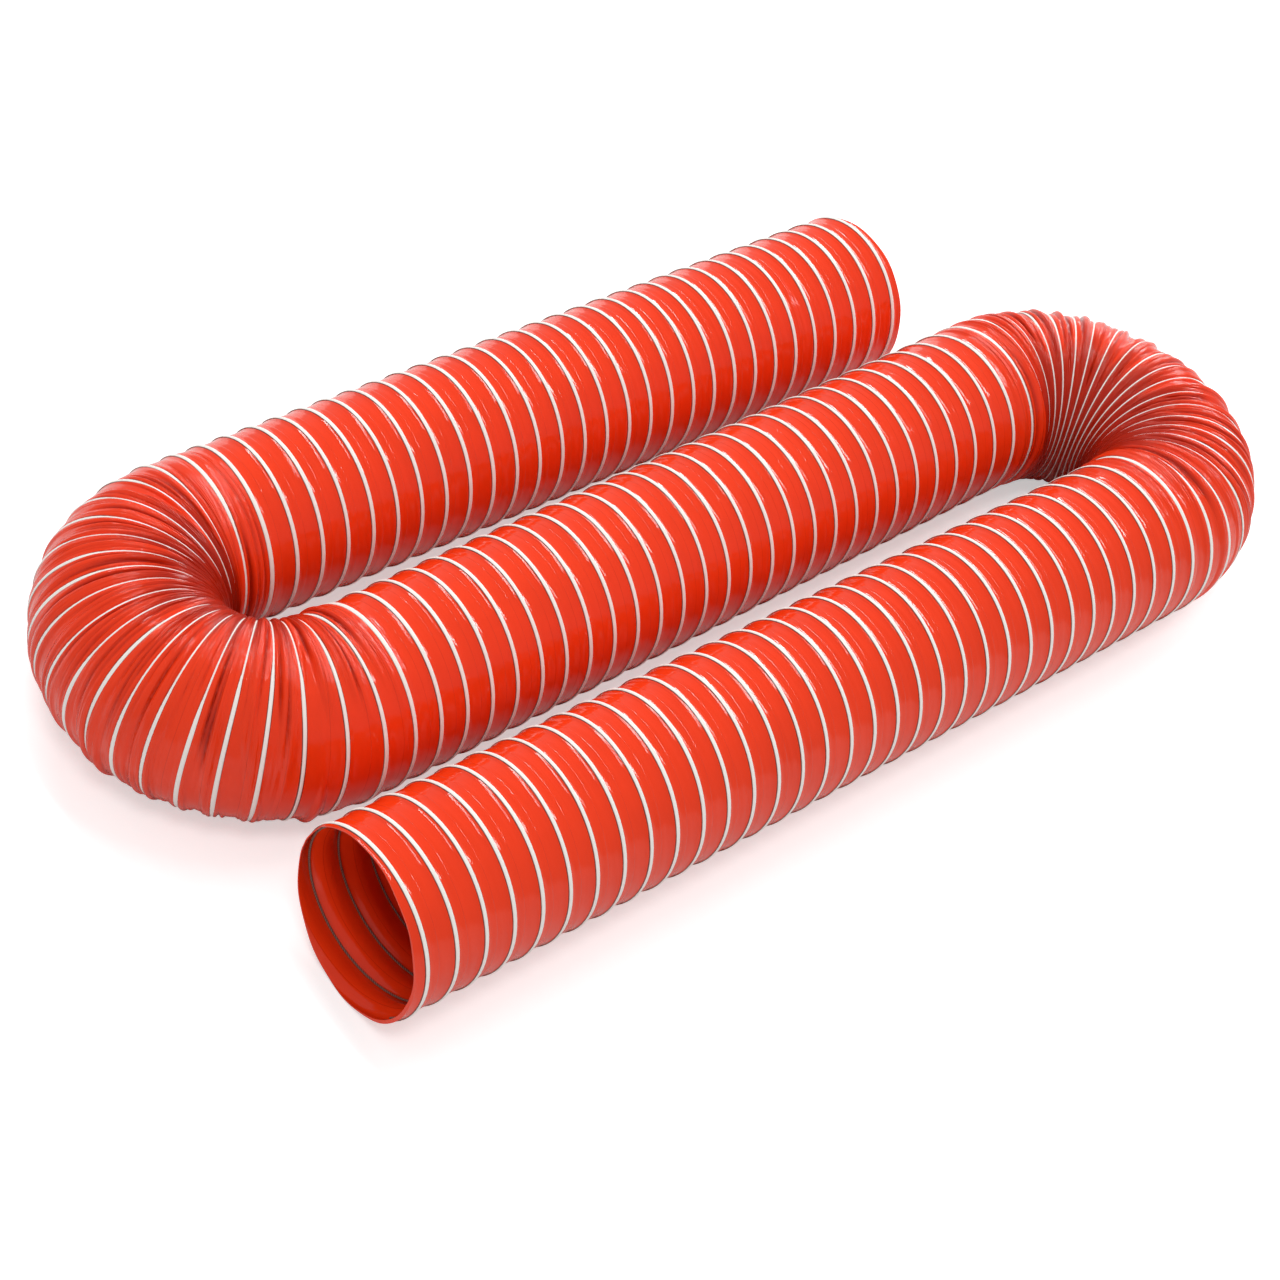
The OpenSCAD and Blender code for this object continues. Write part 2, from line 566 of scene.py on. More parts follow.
@dataclass(frozen=True)
class Divider:
    """Divides the duct into stretches that meet where neither side bends."""

    route: Route
    lift_zone: float = 4.0

    def all_stretches(self) -> list[Stretch]:
        """The stretches of the middle run and of both arms."""
        reach = self.route.half_middle - self.route.bend_turns / self.route.bend_parts / 2.0
        body = "middle_run"
        return [
            Stretch(f"{body}_rear", -reach, 0.0, body, body),
            Stretch(f"{body}_front", 0.0, reach, body, body),
            *self.arm_stretches(Arm.FRONT),
            *(stretch.turned() for stretch in self.arm_stretches(Arm.REAR)),
        ]

    def arm_stretches(self, arm: Arm) -> list[Stretch]:
        """The stretches of one arm, from its bend to its open end.

        Args:
            arm: The arm to divide.

        Returns:
            One stretch over each hinge, one for each rigid length, and one for the reach, all
            as if the arm were the front one.
        """
        stops = [self.route.half_middle + stop for stop in self.route.arm_stops(arm)]
        parts = self.route.bend_parts
        half_part = self.route.bend_turns / parts / 2.0
        run, reach, end = (f"{arm.value}_{word}" for word in ("run", "reach", "end"))
        chain = ["middle_run", *(f"{arm.bend}_bend_{i + 1}" for i in range(parts)), run]
        hinges = [
            Stretch(f"{arm.bend}_hinge_{i + 1}", stops[i] - half_part, stops[i] + half_part, *pair)
            for i, pair in enumerate(zip(chain, chain[1:]))
        ]
        lift_start, lift_stop = stops[-3] - self.lift_zone, stops[-3] + self.lift_zone
        tip = stops[-1] + self.route.hem_len / self.route.pitch
        return [
            *hinges,
            Stretch(run, stops[parts] + half_part, lift_start, run, run),
            Stretch(f"{arm.value}_lift", lift_start, lift_stop, run, reach),
            Stretch(reach, lift_stop, stops[-2], reach, end, even=True),
            Stretch(end, stops[-2], tip, end, end, open_end=1),
        ]


# Meshes


def ring_quads(rows: int, columns: int) -> np.ndarray:
    """Corner numbers of the quads between neighbouring rings of points.

    Args:
        rows: Number of rings.
        columns: Points in each ring.

    Returns:
        An array of four corners a quad.
    """
    row, column = np.meshgrid(np.arange(rows - 1), np.arange(columns), indexing="ij")
    after = (column + 1) % columns
    near, far = row * columns, (row + 1) * columns
    corners = [near + column, near + after, far + after, far + column]
    return np.stack(corners, axis=-1).reshape(-1, 4)


def ring_normals(points: np.ndarray) -> np.ndarray:
    """Unit normals of a grid of rings, from the differences between neighbouring points.

    Args:
        points: Rings of points, one ring more at each end than is wanted.

    Returns:
        Normals of the inner rings, pointing out of rings that run against the clock.
    """
    along = points[2:] - points[:-2]
    around = (np.roll(points, -1, axis=1) - np.roll(points, 1, axis=1))[1:-1]
    return unit(np.cross(around, along))


def add_object(name: str, data: bpy.types.ID) -> bpy.types.Object:
    """A new object that shows the data, linked to the scene."""
    item = bpy.data.objects.new(name, data)
    bpy.context.scene.collection.objects.link(item)
    return item


def make_piece(
    name: str,
    points: np.ndarray,
    faces: list[list[int]],
    uv: np.ndarray,
    normals: np.ndarray,
    marks: dict[str, np.ndarray],
) -> bpy.types.Object:
    """A smooth mesh object whose normals are worked out, so that no seam between pieces shows.

    Args:
        name: Name of the piece.
        points: Its points.
        faces: Corner numbers of each face, first quads and then any flat caps.
        uv: One UV for each corner of the quads.
        normals: One unit normal for each corner of the quads.
        marks: Values for each point, by the name of their attribute.

    Returns:
        The new object.
    """
    mesh = bpy.data.meshes.new(name)
    mesh.from_pydata(points.tolist(), [], faces)
    corner_uv = np.zeros((len(mesh.loops), 2))
    corner_uv[: len(uv)] = uv
    mesh.uv_layers.new(name="UVMap").data.foreach_set("uv", corner_uv.reshape(-1))
    for word, values in marks.items():
        layer = mesh.attributes.new(word, "FLOAT", "POINT")
        layer.data.foreach_set("value", values.reshape(-1).astype(np.float32))
    mesh.polygons.foreach_set("use_smooth", np.ones(len(mesh.polygons), dtype=bool))
    corner_normals = np.zeros((len(mesh.loops), 3))
    corner_normals[: len(normals)] = normals
    for cap in mesh.polygons[len(normals) // 4 :]:
        corner_normals[cap.loop_start : cap.loop_start + cap.loop_total] = cap.normal
    mesh.normals_split_custom_set(corner_normals.tolist())
    mesh.update()
    return add_object(name, mesh)


def fasten(piece: bpy.types.Object, stretch: Stretch, place: np.ndarray, kind: str) -> None:
    """Makes a piece ride on its body; a piece between two bodies is not tied to them here.

    While it is called, the mesh of a piece between two bodies is laid along a unit line, at the
    distance that gives each point its share, and afterwards it goes back to its real shape. The
    inverse of the easing makes a share even.

    Args:
        piece: The piece to fasten.
        stretch: The stretch that it covers.
        place: Place of each of its points along the duct.
        kind: fabric, wire or cord, the start of the solids' names.
    """
    if stretch.rigid:
        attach(piece, stretch.first_body)
    else:
        share = np.clip((place - stretch.start) / (stretch.stop - stretch.start), 0.0, 1.0)
        if stretch.even:
            share = 0.5 - np.sin(np.arcsin(1.0 - 2.0 * share) / 3.0)
        mesh = piece.data
        shape = np.zeros(len(mesh.vertices) * 3, dtype=np.float32)
        mesh.vertices.foreach_get("co", shape)
        line = np.zeros((len(mesh.vertices), 3), dtype=np.float32)
        line[:, 0] = share
        mesh.vertices.foreach_set("co", line.reshape(-1))
        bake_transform(piece)
        mesh.vertices.foreach_set("co", shape)
        mesh.update()
    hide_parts(*(f"{kind}_{body}" for body in stretch.bodies))


# Finishes


class Nodes:
    """A short way to build the node tree of a material or of the world."""

    def __init__(
        self, owner: bpy.types.Material | bpy.types.World, output: str = "ShaderNodeOutputMaterial"
    ) -> None:
        """Starts an empty tree with its output."""
        self.owner = owner
        self.owner.use_nodes = True
        self.tree = owner.node_tree
        self.tree.nodes.clear()
        self.output = self.tree.nodes.new(output)

    def add(self, kind: str, inputs: dict | None = None, **settings: object) -> bpy.types.Node:
        """Adds a node.

        Args:
            kind: The node's type.
            inputs: Values or output sockets, by the name or number of the input.
            settings: The node's own properties.

        Returns:
            The new node.
        """
        node = self.tree.nodes.new(kind)
        for word, value in settings.items():
            setattr(node, word, value)
        for key, value in (inputs or {}).items():
            if isinstance(value, Socket):
                self.tree.links.new(value, node.inputs[key])
            else:
                node.inputs[key].default_value = value
        return node

    def end_in(self, shader: str, inputs: dict) -> bpy.types.Material | bpy.types.World:
        """Ends the tree in a shader with these inputs, and gives its owner."""
        self.tree.links.new(self.add(shader, inputs).outputs[0], self.output.inputs[0])
        return self.owner

    def math(self, operation: str, *values: object) -> Socket:
        """The result of a Math node on up to three values."""
        return self.add("ShaderNodeMath", dict(enumerate(values)), operation=operation).outputs[0]

    def mix(self, share: object, first: object, second: object) -> Socket:
        """A colour between two others, by share."""
        inputs = {0: share, 6: first, 7: second}
        return self.add("ShaderNodeMix", inputs, data_type="RGBA").outputs[2]

    def ramp(self, value: object, low: float, high: float) -> Socket:
        """A smooth share from 0 at low to 1 at high."""
        inputs = {0: value, 1: low, 2: high, 3: 0.0, 4: 1.0}
        return self.add("ShaderNodeMapRange", inputs, interpolation_type="SMOOTHSTEP").outputs[0]

    def ridge(self, value: object, start: float, top: float, stop: float) -> Socket:
        """A share that rises from 0 at start to 1 at top, and is 0 again at stop."""
        return self.math("SUBTRACT", self.ramp(value, start, top), self.ramp(value, top, stop))

    def noise(self, where: Socket, scale: float, detail: float) -> Socket:
        """The height of a noise pattern."""
        inputs = {"Vector": where, "Scale": scale, "Detail": detail}
        return self.add("ShaderNodeTexNoise", inputs).outputs[0]

    def bump(self, height: Socket, strength: float, depth: float, **under: Socket) -> Socket:
        """The normal of a surface with this height, over the Normal of a coarser one."""
        inputs = {"Strength": strength, "Distance": depth, "Height": height, **under}
        return self.add("ShaderNodeBump", inputs).outputs[0]

    def coordinates(self, kind: str) -> Socket:
        """The piece's own Object or UV coordinates."""
        return self.add("ShaderNodeTexCoord").outputs[kind]

    def on_uv(self, along: float, across: float, turn: float = 0.0) -> Socket:
        """The piece's own UV, turned and then scaled."""
        scale = (along, across, 1.0)
        inputs = {"Vector": self.coordinates("UV"), "Rotation": (0.0, 0.0, turn), "Scale": scale}
        return self.add("ShaderNodeMapping", inputs).outputs[0]

    def attribute(self, name: str) -> Socket:
        """The value of one of the piece's own attributes."""
        return self.add("ShaderNodeAttribute", attribute_name=name).outputs["Fac"]


@dataclass(frozen=True)
class CoatedFabric:
    """Woven glass cloth under an orange-red silicone coating, glossy and a little uneven."""

    lit: Colour = (0.93, 0.045, 0.006, 1.0)
    deep: Colour = (0.50, 0.014, 0.002, 1.0)
    deep_share: float = 0.12
    # Painted shade: a dark red laid into creases and on the crowded inside of a bend.
    valley: Colour = (0.32, 0.006, 0.001, 1.0)
    valley_share: float = 0.8
    # A dark line along the fabric beside each edge of the cord.
    dark_edge: Colour = (0.22, 0.030, 0.016, 1.0)
    roughness: float = 0.1
    ior: float = 1.41
    cloud_scale: float = 22.0
    pore_scale: float = 260.0
    thread: float = 0.9 * MM
    wrinkle: float = 2.4 * MM
    wrinkle_len: float = 60.0 * MM
    wrinkle_h: float = 1.5 * MM
    lap_step: Triple = (0.58, 0.60, 0.85)
    lap_line: Triple = (0.575, 0.59, 0.605)
    lap_share: float = 0.35
    lap_waver: float = 0.03
    lap_h: float = 0.25 * MM

    def build(self) -> bpy.types.Material:
        """The finished material."""
        n = Nodes(bpy.data.materials.new("silicone_fabric"))
        where = n.coordinates("Object")
        cloud = n.noise(where, self.cloud_scale, 3.0)
        pores = n.noise(where, self.pore_scale, 4.0)
        streaks = n.noise(n.on_uv(1.0 / self.wrinkle, 1.0 / self.wrinkle_len), 1.0, 3.0)
        turn = n.add("ShaderNodeSeparateXYZ", {0: n.coordinates("UV")}).outputs[0]
        gap = n.math("FRACT", n.math("DIVIDE", turn, Route.pitch))
        waver = n.math("MULTIPLY", n.math("SUBTRACT", streaks, 0.5), self.lap_waver)
        lap = n.math("ADD", gap, waver)
        line = n.math("MULTIPLY", n.ridge(lap, *self.lap_line), self.lap_share)
        clouds = n.math("MULTIPLY", n.ramp(cloud, 0.35, 0.75), self.deep_share)
        # Painted shade: the crease mark darkens creases and the crowded inside of a bend.
        crease = n.math("MULTIPLY", n.ramp(n.attribute("crease"), 0.15, 0.9), self.valley_share)
        # Darkens the fabric in a thin line along each edge of the cord.
        beside = n.ramp(n.attribute("beside_cord"), 0.25, 0.6)
        colour = n.mix(clouds, self.lit, self.deep)
        colour = n.mix(crease, colour, self.valley)
        colour = n.mix(line, colour, self.deep)
        colour = n.mix(beside, colour, self.dark_edge)
        weave = {"Vector": n.on_uv(1.0 / self.thread, 1.0 / self.thread), "Scale": 1.0}
        threads = n.math("MULTIPLY", n.add("ShaderNodeTexChecker", weave).outputs[1], 0.15)
        grain = n.math("ADD", threads, n.math("MULTIPLY", pores, 0.6))
        cloth = n.bump(grain, 0.05, 0.3 * MM)
        edge = n.bump(n.ridge(lap, *self.lap_step), 0.5, self.lap_h, Normal=cloth)
        pulled = n.math("MULTIPLY", streaks, n.attribute("wrinkles"))
        waves = n.bump(pulled, 1.0, self.wrinkle_h, Normal=edge)
        uneven = n.math("MULTIPLY", n.math("SUBTRACT", pores, 0.5), 0.08)
        rough = n.math("ADD", self.roughness, uneven)
        inputs = {"Base Color": colour, "Roughness": rough, "IOR": self.ior, "Normal": waves}
        return n.end_in("ShaderNodeBsdfPrincipled", inputs)


@dataclass(frozen=True)
class Wound:
    """A finish with slanting bands along a strand, between two colours."""

    name: str
    light: Colour
    dark: Colour
    dark_share: float
    turn: float
    scale: float
    bands: float
    distortion: float
    bump_strength: float
    bump_h: float
    surface: tuple[tuple[str, float], ...]
    dark_edge: Colour | None = None

    def build(self) -> bpy.types.Material:
        """The finished material, with a thin dark line along both edges if it has a dark edge
        colour.
        """
        n = Nodes(bpy.data.materials.new(self.name))
        inputs = {"Vector": n.on_uv(self.scale, self.scale, self.turn), "Scale": self.bands}
        inputs["Distortion"] = self.distortion
        bands = n.add("ShaderNodeTexWave", inputs).outputs[1]
        colour = n.mix(n.math("MULTIPLY", bands, self.dark_share), self.light, self.dark)
        if self.dark_edge:
            colour = n.mix(n.ramp(n.attribute("edge"), 0.78, 0.88), colour, self.dark_edge)
        bump = n.bump(bands, self.bump_strength, self.bump_h)
        inputs = {"Base Color": colour, "Normal": bump, **dict(self.surface)}
        return n.end_in("ShaderNodeBsdfPrincipled", inputs)


GLASS_CORD = Wound(
    name="braided_glass_cord",
    light=(0.98, 0.95, 0.90, 1.0),
    dark=(0.88, 0.82, 0.74, 1.0),
    dark_share=0.25,
    turn=0.7,
    scale=900.0,
    bands=0.35,
    distortion=1.2,
    bump_strength=0.25,
    bump_h=0.3 * MM,
    surface=(("Roughness", 0.55), ("Sheen Weight", 0.2)),
    dark_edge=(0.20, 0.050, 0.030, 1.0),
)
SPRING_STEEL = Wound(
    name="drawn_spring_steel",
    light=(0.34, 0.20, 0.16, 1.0),
    dark=(0.14, 0.055, 0.038, 1.0),
    dark_share=1.0,
    turn=0.9,
    scale=420.0,
    bands=0.5,
    distortion=0.8,
    bump_strength=0.5,
    bump_h=0.4 * MM,
    surface=(("Roughness", 0.42), ("Metallic", 0.4)),
)


# The three pieces of the duct


@dataclass(frozen=True)
class Rim:
    """The hand-cut edge of an open end, with its small waves and the tuck at the tape's lap."""

    out: float = 4.0 * MM
    slant: float = 3.9 * MM
    waver: float = 0.5 * MM
    waver_len: float = 26.0 * MM
    tuck: float = 1.5 * MM
    tuck_angle: float = 2.6
    slack: float = 0.4 * MM
    slack_len: float = 12.0 * MM
    lap: float = 0.8 * MM
    lap_angles: Pair = (2.55, 2.75)
    hem: Pair = (1.0 * MM, 10.0 * MM)

    def cut(self, angle: np.ndarray, slanted: bool) -> np.ndarray:
        """How far out the edge is cut.

        Args:
            angle: Angles round the tube.
            slanted: Whether the edge also stands out and is cut at a slant.

        Returns:
            Lengths along the duct.
        """
        cut = self.waver * wander(angle * 2.0, 3.0, (1.0, 2.0, 5.0))
        cut = cut - self.tuck * smooth_step(np.cos(angle - self.tuck_angle), 0.97, 1.0)
        if slanted:
            cut = cut + self.out + self.slant * (np.cos(angle) - np.sin(angle))
        return cut

    def rise(self, angle: np.ndarray) -> np.ndarray:
        """How far the edge stands off its circle, most of all where the tape laps."""
        first, last = (np.cos(angle - lap_angle) for lap_angle in self.lap_angles)
        lap = smooth_step(first, 0.90, 0.96) - smooth_step(last, 0.96, 0.99)
        return self.slack * wander(angle, 8.0, (1.0, 2.0, 3.0)) + self.lap * lap


@dataclass(frozen=True)
class FabricWall:
    """The coated fabric tube, a thin closed shell with both of its faces worked out."""

    shape: Corrugation
    material: bpy.types.Material
    rim: Rim = Rim()
    run_rows: int = 22
    bend_rows: int = 36
    columns: int = 96
    least_t: float = 0.3 * MM
    # Strengths of the painted shade laid into creases and on the crowded inside of a bend.
    crease_shade_mark: float = 0.8
    pinch_shade_mark: float = 0.7
    pinch_shade_loose: Pair = (0.5, 0.9)
    dark_edge_reach: float = 2.15 * MM
    dark_edge_hidden: float = 0.7
    dark_edge_loose: Pair = (0.25, 0.6)
    dark_edge_fade: float = 0.02
    least_wrinkle: float = 0.05
    wrinkle_loose: Pair = (0.18, 0.4)

    def rings(self, stretch: Stretch) -> np.ndarray:
        """Places of a stretch's rings, evenly from its start to its stop."""
        turns = stretch.stop - stretch.start
        middle = np.array((stretch.start + stretch.stop) / 2.0)
        in_bend = self.shape.route.bend_share(middle) > 0.3
        count = round(turns * (self.bend_rows if in_bend else self.run_rows))
        return stretch.start + turns * np.arange(count + 1) / count

    def build(self, stretch: Stretch) -> bpy.types.Object:
        """One stretch of the wall.

        The outer face is a grid of rings, and the inner face is the same grid about one wall
        thickness nearer the centreline. A ring of quads joins the two at either end.

        Args:
            stretch: The stretch to build.

        Returns:
            The finished piece.
        """
        shape, rim = self.shape, self.rim
        ring = np.arange(self.columns) * TAU / self.columns
        place, angle = np.meshgrid(self.rings(stretch), ring, indexing="ij")
        place = shape.gathered(place, angle, stretch.start, stretch.stop)
        from_tip = stretch.from_tip(place) * shape.route.pitch
        near = 1.0 - smooth_step(from_tip, 0.0, rim.waver_len)
        slack = (1.0 - smooth_step(from_tip, 0.0, rim.slack_len)) * rim.rise(angle)
        cut = rim.cut(angle, stretch.open_end > 0)
        place = place + stretch.open_end * near * cut / shape.route.pitch
        outer_r = shape.radius(place, angle) + slack
        hem = 1.0 - smooth_step(stretch.from_tip(place) * shape.route.pitch, *rim.hem)
        inner_r = (1.0 - hem) * (shape.inner_radius(place, angle) + slack)
        inner_r = hem * (outer_r - shape.wall_t) + inner_r
        outer, inner = (shape.point(place, angle, radius) for radius in (outer_r, inner_r))
        above = np.where(np.sin(angle) < 0.0, self.least_t, -np.inf)
        inner[..., 2] = np.maximum(inner[..., 2], outer[..., 2] + above)
        points = np.concatenate([outer.reshape(-1, 3), inner.reshape(-1, 3)])
        faces = self.shell_faces(*place.shape)
        piece = make_piece(
            f"{stretch.name}_fabric",
            points,
            faces.tolist(),
            *self.corners(place, angle, points, faces),
            self.marks(place, angle),
        )
        piece.data.materials.append(self.material)
        fasten(piece, stretch, np.concatenate([place, place]).reshape(-1), "fabric")
        return piece

    @staticmethod
    def shell_faces(rows: int, columns: int) -> np.ndarray:
        """Corner numbers of a shell: its outer face, its inner face and the rings at both ends.

        Args:
            rows: Rings of points in each face, outer ones first.
            columns: Points in each ring.

        Returns:
            An array of four corners a quad, whose last 2 * columns are the two end rings.
        """
        quads = ring_quads(rows, columns)
        base = rows * columns
        ring = np.arange(columns)
        after = (ring + 1) % columns
        start = np.stack([ring, ring + base, after + base, after], axis=-1)
        stop = np.stack([ring, after, after + base, ring + base], axis=-1) + base - columns
        return np.concatenate([quads, quads[:, ::-1] + base, start, stop])

    def corners(
        self, place: np.ndarray, angle: np.ndarray, points: np.ndarray, faces: np.ndarray
    ) -> tuple[np.ndarray, np.ndarray]:
        """UVs and normals of the quads' corners.

        A UV is the distance along the duct from the cord, and the distance round the tube, which
        is carried on past the seam. Normals are smooth on both faces and flat on the end rings.

        Args:
            place: Places of the outer points.
            angle: Angles of the outer points.
            points: All points, outer ones first.
            faces: Corner numbers of the quads.

        Returns:
            One UV and one unit normal for each corner.
        """
        shape = self.shape
        around = TAU * shape.crest_r
        from_cord = shape.phase(place, angle) * shape.route.pitch
        grid = np.stack([from_cord, angle * shape.crest_r], axis=-1).reshape(-1, 2)
        uv = np.concatenate([grid, grid])[faces]
        past_seam = np.ptp(uv[..., 1], axis=1)[:, None] > around / 2
        carried = past_seam & (uv[..., 1] < around / 2)
        uv += carried[..., None] * np.array([shape.route.pitch, around])
        outer = shape.normals(place, angle, shape.radius).reshape(-1, 3)
        inner = -shape.normals(place, angle, shape.inner_radius).reshape(-1, 3)
        normals = np.concatenate([outer, inner])[faces]
        ends = points[faces[-2 * self.columns :, :3]]
        flat = unit(np.cross(ends[:, 1] - ends[:, 0], ends[:, 2] - ends[:, 0]))
        normals[-2 * self.columns :] = flat[:, None]
        return uv.reshape(-1, 2), normals.reshape(-1, 3)

    def marks(self, place: np.ndarray, angle: np.ndarray) -> dict[str, np.ndarray]:
        """Marks painted shade in the creases and on the crowded inside of a bend, the dark line
        beside the cord, and the loose fabric, for the material.

        Args:
            place: Places of the outer points.
            angle: Angles of the outer points.

        Returns:
            Values of the outer points and then of the inner ones, which have a share of them, by
            the name of the mark.
        """
        shape = self.shape
        gap = shape.gap(place, angle)
        # Painted shade: darkest in deep creases, and where the inside of a bend crowds the turns.
        crease = self.crease_shade_mark * np.clip(shape.drawn_in(gap) / shape.crease_h, 0.0, 1.0)
        pinch_shade = self.pinch_shade_mark * smooth_step(gap.loose, *self.pinch_shade_loose)
        # A dark line beside each edge of the cord, fainter where the turns crowd and faded at the
        # strand's ends.
        beside = np.exp(-((gap.from_turn / self.dark_edge_reach) ** 6))
        beside = beside * (1.0 - self.dark_edge_hidden * smooth_step(gap.loose, *self.dark_edge_loose))
        turn = gap.strip + (gap.share >= 0.5)
        low, high = shape.strand_ends
        beside = beside * smooth_step(np.minimum(turn - low, high - turn), 0.0, self.dark_edge_fade)
        least = self.least_wrinkle
        marks = {
            "crease": (np.maximum(crease, pinch_shade), 0.5),
            "beside_cord": (beside, 0.0),
            "wrinkles": (least + (1.0 - least) * smooth_step(gap.loose, *self.wrinkle_loose), 1.5),
        }
        return {word: np.stack([mark, inside * mark]) for word, (mark, inside) in marks.items()}


@dataclass(frozen=True)
class Strand:
    """A strand along the helix: a closed section carried round the tube, turn after turn.

    The section is given by the places of its points across the strand and their heights above
    base_r, clockwise.
    """

    shape: Corrugation
    material: bpy.types.Material
    kind: str
    slot_name: str
    across: np.ndarray
    up: np.ndarray
    base_r: float
    steps_a_turn: int

    def counts(self, stretch: Stretch) -> np.ndarray:
        """Helix angles of a stretch's sections, in turns.

        The strand runs along the duct while it turns. A helix angle t stands for the point at
        angle -t round the tube, where the strand's place is close to t.

        Args:
            stretch: The stretch to cover.

        Returns:
            Even steps, with one more past each end.
        """
        route = self.shape.route
        low, high = stretch.start - route.half_middle, stretch.stop - route.half_middle
        if stretch.open_end < 0:
            low = self.shape.strand_ends[0]
        if stretch.open_end > 0:
            high = self.shape.strand_ends[1]
        count = round((high - low) * self.steps_a_turn)
        return low + (high - low) * np.arange(-1, count + 2) / count

    def build(self, stretch: Stretch) -> bpy.types.Object:
        """One stretch of the strand.

        Args:
            stretch: The stretch to build.

        Returns:
            The finished piece.
        """
        shape = self.shape
        turn = self.counts(stretch)
        angle = -turn * TAU
        centre = shape.turn_place(angle)
        place = centre[:, None] + self.across / shape.spacing(centre, angle)[:, None]
        points = shape.point(place, angle[:, None], self.base_r + self.up)
        rows, columns = points[1:-1].shape[:2]
        quads = ring_quads(rows, columns)
        start_cap = list(range(columns - 1, -1, -1))
        stop_cap = list(range((rows - 1) * columns, rows * columns))
        steps = (np.diff(side, append=side[0]) for side in (self.across, self.up))
        length = turn[1:-1, None] * math.hypot(TAU * shape.crest_r, shape.route.pitch)
        uv = np.stack(np.broadcast_arrays(length, np.cumsum(np.hypot(*steps))), axis=-1)
        edge = np.abs(self.across) / np.max(np.abs(self.across))
        piece = make_piece(
            f"{stretch.name}_{self.kind}",
            points[1:-1].reshape(-1, 3),
            [*quads.tolist(), start_cap, stop_cap],
            uv.reshape(-1, 2)[quads].reshape(-1, 2),
            ring_normals(points).reshape(-1, 3)[quads].reshape(-1, 3),
            {"edge": np.tile(edge, rows)},
        )
        piece.data.materials.append(self.material)
        fasten(piece, stretch, np.repeat(centre[1:-1], columns), self.kind)
        return piece


def glass_cord(shape: Corrugation) -> Strand:
    """The flat cord on the fabric: a low rounded back between two thin fillets, coloured dark."""
    across = np.array([-2.1, -1.8, -1.6, -1.1, 0.0, 1.1, 1.6, 1.8, 2.1, 1.2, -1.2]) * MM
    up = np.array([-0.2, 0.15, 0.5, 0.72, 0.8, 0.72, 0.5, 0.15, -0.2, -0.5, -0.5]) * MM
    finish = GLASS_CORD.build()
    return Strand(shape, finish, "cord", "glass_cord", across, up, shape.crest_r, steps_a_turn=72)


def spring_wire(shape: Corrugation) -> Strand:
    """The round wire under the fabric."""
    wire_r = 1.0 * MM
    around = -np.arange(8) * TAU / 8
    across, up = wire_r * np.cos(around), wire_r * np.sin(around)
    base_r = shape.crest_r - shape.wall_t - wire_r
    finish = SPRING_STEEL.build()
    return Strand(shape, finish, "wire", "spring_wire", across, up, base_r, steps_a_turn=48)


def build_duct(route: Route) -> list[bpy.types.Object]:
    """Builds the wall, the cord and the wire over every stretch of the duct."""
    shape = Corrugation(route)
    makers = (FabricWall(shape, CoatedFabric().build()), glass_cord(shape), spring_wire(shape))
    pieces = []
    for stretch in Divider(route).all_stretches():
        for maker in makers:
            piece = maker.build(stretch)
            LOG.info("%s: %d faces", piece.name, len(piece.data.polygons))
            pieces.append(piece)
    return pieces


# The room


def standing(place: Vector, right: Vector, up: Vector, back: Vector) -> Matrix:
    """The matrix of something at a place, with its own X, Y and Z along three directions."""
    return Matrix.Translation(place) @ Matrix((right, up, back)).transposed().to_4x4()


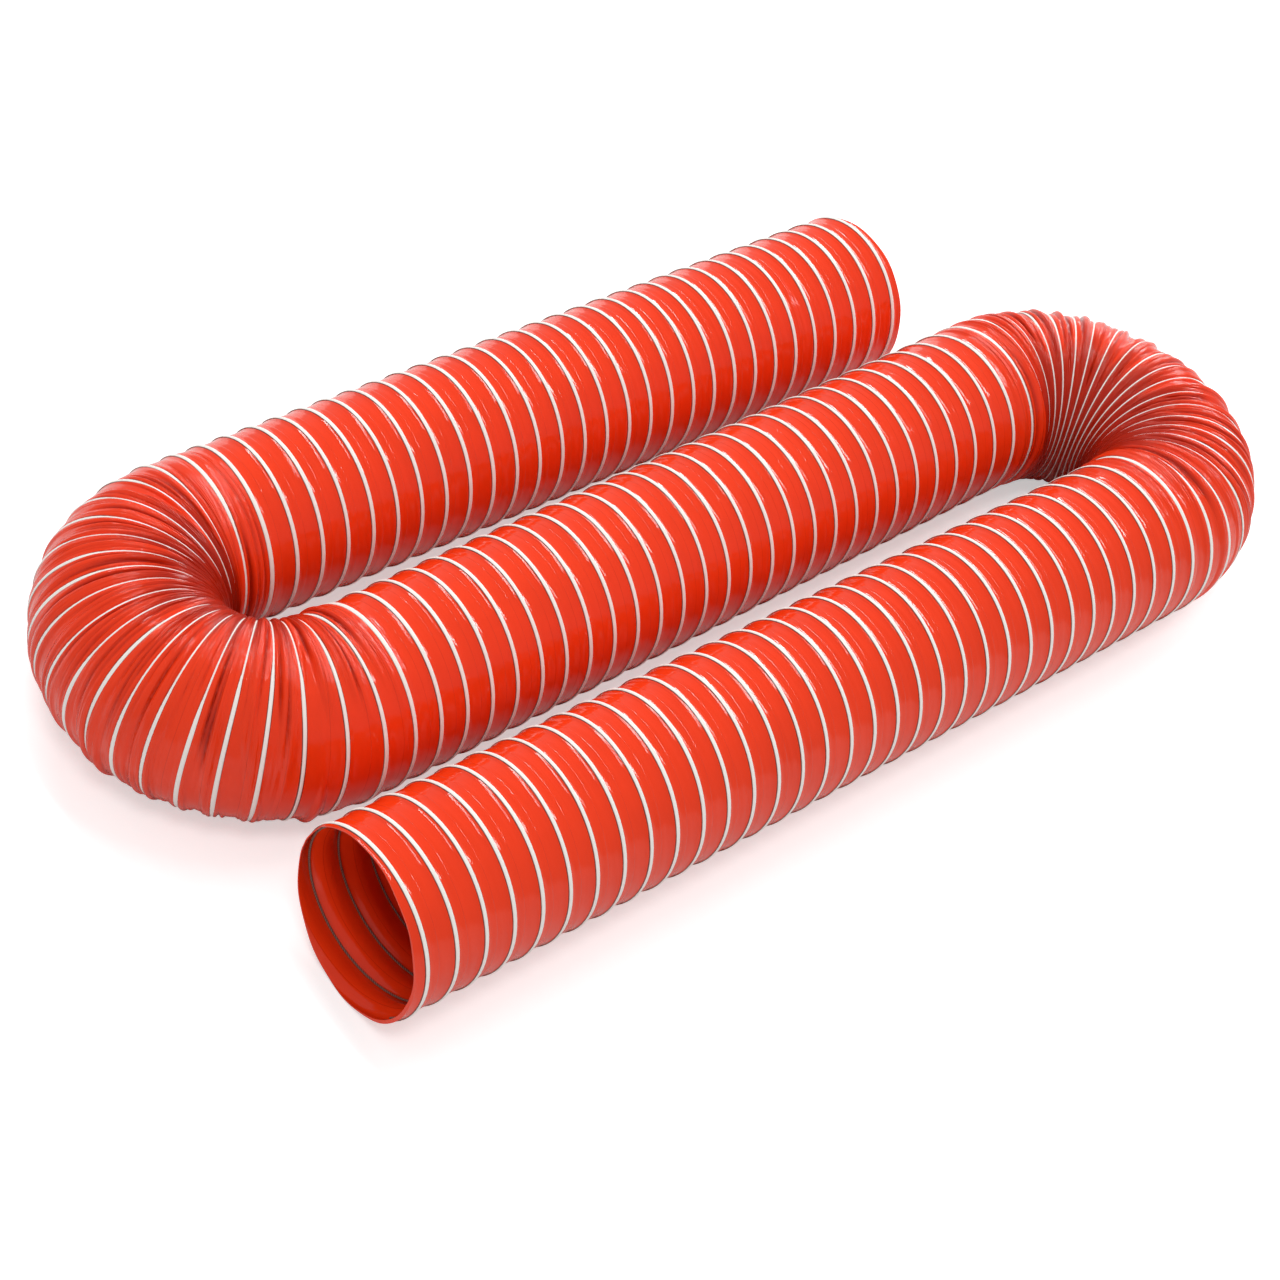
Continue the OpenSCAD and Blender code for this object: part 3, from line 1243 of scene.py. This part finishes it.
@dataclass(frozen=True)
class Studio:
    """A plain pale floor, soft lamps and a camera that looks down along the runs."""

    azimuth: float = -0.9006
    elevation: float = 0.7467
    roll: float = 0.2502
    distance: float = 2.4628
    target: Triple = (-0.0525, -0.0181, 0.0)
    focal: float = 2812.0 / 1280.0
    sensor_mm: float = 36.0
    sun_from: Triple = (-0.27, -0.30, 0.91)
    sun_spread: float = 0.28
    sun_power: float = 0.65
    overhead: Triple = (0.12, 0.407, 0.906)
    side: Triple = (0.90, 0.178, 0.398)
    lamp_distance: float = 6.0
    lamp_size: Pair = (7.0, 0.36)
    lamp_power: float = 150.0
    sky_power: float = 0.46
    floor_half: float = 12.0
    floor_colour: Colour = (0.80, 0.80, 0.80, 1.0)
    floor_glow: float = 0.5

    def camera(self) -> None:
        """Adds the camera and makes it the scene's own."""
        ca, sa = math.cos(self.azimuth), math.sin(self.azimuth)
        ce, se = math.cos(self.elevation), math.sin(self.elevation)
        cr, sr = math.cos(self.roll), math.sin(self.roll)
        back = Vector((sa * ce, -ca * ce, se))
        level = Vector((ca, sa, 0.0))
        upright = back.cross(level)
        right, up = cr * level + sr * upright, cr * upright - sr * level
        data = bpy.data.cameras.new("camera")
        data.sensor_fit = "HORIZONTAL"
        data.sensor_width = self.sensor_mm
        data.lens = self.focal * data.sensor_width
        data.clip_end = 50.0
        eye = add_object("camera", data)
        eye.matrix_world = standing(Vector(self.target) + back * self.distance, right, up, back)
        bpy.context.scene.camera = eye

    def strip_lamp(self, name: str, way: Triple) -> None:
        """Adds a long soft lamp that faces the duct and lies square to the runs.

        Args:
            name: Name of the lamp.
            way: Direction that it lies in.
        """
        data = bpy.data.lights.new(name, "AREA")
        data.shape = "RECTANGLE"
        data.size, data.size_y = self.lamp_size
        data.energy = self.lamp_power
        place = Vector(way) * self.lamp_distance
        back = place.normalized()
        right = back.cross(Vector((1.0, 0.0, 0.0))).normalized()
        add_object(name, data).matrix_world = standing(place, right, back.cross(right), back)

    def soft_sun(self) -> None:
        """Adds an even light from one wide patch of the sky, which the gloss doesn't show."""
        data = bpy.data.lights.new("key", "SUN")
        data.angle = self.sun_spread
        data.energy = self.sun_power
        lamp = add_object("key", data)
        lamp.visible_glossy = False
        lamp.rotation_euler = Vector(self.sun_from).to_track_quat("Z", "Y").to_euler()

    def floor(self) -> None:
        """Adds the pale floor, which also glows a little for the camera."""
        half = self.floor_half
        mesh = bpy.data.meshes.new("floor")
        corners = [(-half, -half, 0.0), (half, -half, 0.0), (half, half, 0.0), (-half, half, 0.0)]
        mesh.from_pydata(corners, [], [(0, 1, 2, 3)])
        floor = add_object("floor", mesh)
        n = Nodes(bpy.data.materials.new("pale_floor"))
        matt = n.add("ShaderNodeBsdfDiffuse", {"Color": self.floor_colour}).outputs[0]
        seen = n.add("ShaderNodeLightPath").outputs["Is Camera Ray"]
        glow = {0: WHITE, 1: n.math("MULTIPLY", seen, self.floor_glow)}
        bright = n.add("ShaderNodeEmission", glow).outputs[0]
        mesh.materials.append(n.end_in("ShaderNodeAddShader", {0: matt, 1: bright}))

    def sky(self) -> None:
        """White for the camera, and a soft even light for everything else."""
        world = bpy.data.worlds.new("studio")
        bpy.context.scene.world = world
        n = Nodes(world, "ShaderNodeOutputWorld")
        seen = n.add("ShaderNodeLightPath").outputs["Is Camera Ray"]
        light = n.add("ShaderNodeBackground", {0: WHITE, 1: self.sky_power}).outputs[0]
        white = n.add("ShaderNodeBackground", {0: WHITE}).outputs[0]
        n.end_in("ShaderNodeMixShader", {0: seen, 1: light, 2: white})

    def build(self) -> None:
        """Sets the whole room up."""
        self.camera()
        self.floor()
        self.sky()
        self.soft_sun()
        self.strip_lamp("overhead", self.overhead)
        self.strip_lamp("side", self.side)
        bpy.context.scene.view_settings.view_transform = "Standard"


def main() -> None:
    """Loads the frame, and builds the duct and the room."""
    logging.basicConfig(level=logging.INFO, format="%(message)s")
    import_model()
    low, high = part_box("fabric_middle_run")
    axis_z = (low[2] + high[2]) / 2.0
    pieces = build_duct(Route(axis_z=axis_z, duct_r=axis_z))
    LOG.info("%d pieces", len(pieces))
    Studio().build()


if __name__ == "__main__":
    main()
